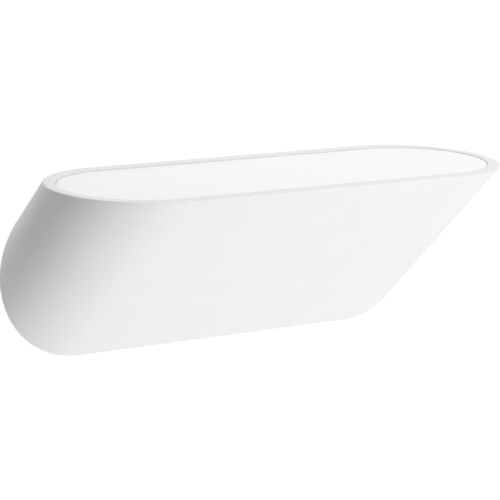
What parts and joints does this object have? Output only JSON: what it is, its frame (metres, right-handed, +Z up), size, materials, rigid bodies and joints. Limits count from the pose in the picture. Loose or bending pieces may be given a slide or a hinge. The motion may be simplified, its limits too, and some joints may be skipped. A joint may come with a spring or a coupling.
{
  "type": "wall uplighter",
  "caption": "Wall uplighter: a leaning round-ended cast body with a level rim and a frosted glass panel, hung on a hidden steel wall plate.",
  "frame": {"origin": "on the wall surface, at the middle of the body's outline on the wall, on the back face of the wall plate", "axes": "+X along the light, +Y into the wall, +Z up; the light stands out towards -Y"},
  "size_m": [0.3, 0.1144, 0.1144],
  "materials": {
    "aluminium": "bright anodised",
    "black_rubber": "matte",
    "block_plastic": "matte",
    "brass": "plain",
    "frosted_glass": "satin, frosted on both faces",
    "painted_steel": "white powder coat",
    "plaster": "matte, unpainted white casting",
    "quartz": "clear",
    "silicone": "soft, translucent white",
    "tungsten": "dull wire",
    "white_ceramic": "unglazed steatite",
    "wire_blue": "insulated wire",
    "wire_brown": "insulated wire",
    "wire_green": "insulated wire",
    "zinc_steel": "zinc plated"
  },
  "bodies": {
    "wall_side": {"bracket_left": "painted_steel", "bracket_right": "painted_steel", "bracket_screw_left": "zinc_steel", "bracket_screw_right": "zinc_steel", "cable_grommet": "black_rubber", "contact_left": "brass", "contact_spring": "zinc_steel", "earth_screw": "brass", "earth_tag": "brass", "holder_left": "white_ceramic", "holder_right": "white_ceramic", "holder_screw_left": "zinc_steel", "holder_screw_right": "zinc_steel", "reflector": "aluminium", "rivet_left": "aluminium", "rivet_right": "aluminium", "spring_cap": "brass", "terminal_block": "block_plastic", "terminal_insert_1": "brass", "terminal_insert_2": "brass", "terminal_insert_3": "brass", "terminal_screw_1": "zinc_steel", "terminal_screw_2": "zinc_steel", "terminal_screw_3": "zinc_steel", "wall_plate": "painted_steel", "wire_earth": "wire_green", "wire_live": "wire_brown", "wire_neutral": "wire_blue"},
    "body": {"glass_pad_back_left": "silicone", "glass_pad_back_right": "silicone", "glass_pad_front_left": "silicone", "glass_pad_front_right": "silicone", "keeper_left": "zinc_steel", "keeper_right": "zinc_steel", "keeper_screw_left_a": "zinc_steel", "keeper_screw_left_b": "zinc_steel", "keeper_screw_right_a": "zinc_steel", "keeper_screw_right_b": "zinc_steel", "plaster_body": "plaster"},
    "diffuser": {"glass_diffuser": "frosted_glass"},
    "contact": {"contact_pin_right": "brass"},
    "lamp": {"cap_left": "white_ceramic", "cap_right": "white_ceramic", "end_contact_left": "zinc_steel", "end_contact_right": "zinc_steel", "filament": "tungsten", "lamp_tube": "quartz", "pinch_left": "quartz", "pinch_right": "quartz"}
  },
  "joints": [
    {"name": "body_lift", "type": "slide", "parent": "wall_side", "child": "body", "axis": [0, 0, 1], "range_m": [0, 0.008]},
    {"name": "diffuser_lift", "type": "slide", "parent": "body", "child": "diffuser", "axis": [0, 0, 1], "range_m": [0, 0.09]},
    {"name": "contact_push", "type": "slide", "parent": "wall_side", "child": "contact", "axis": [1, 0, 0], "range_m": [0, 0.003], "stiffness_N_per_m": 2000, "springref_m": -0.002, "deforming": ["contact_spring"]},
    {"name": "lamp_turn", "type": "hinge", "parent": "contact", "child": "lamp", "pos_m": [0, -0.036, 0.03], "axis": [1, 0, 0], "continuous": true}
  ]
}
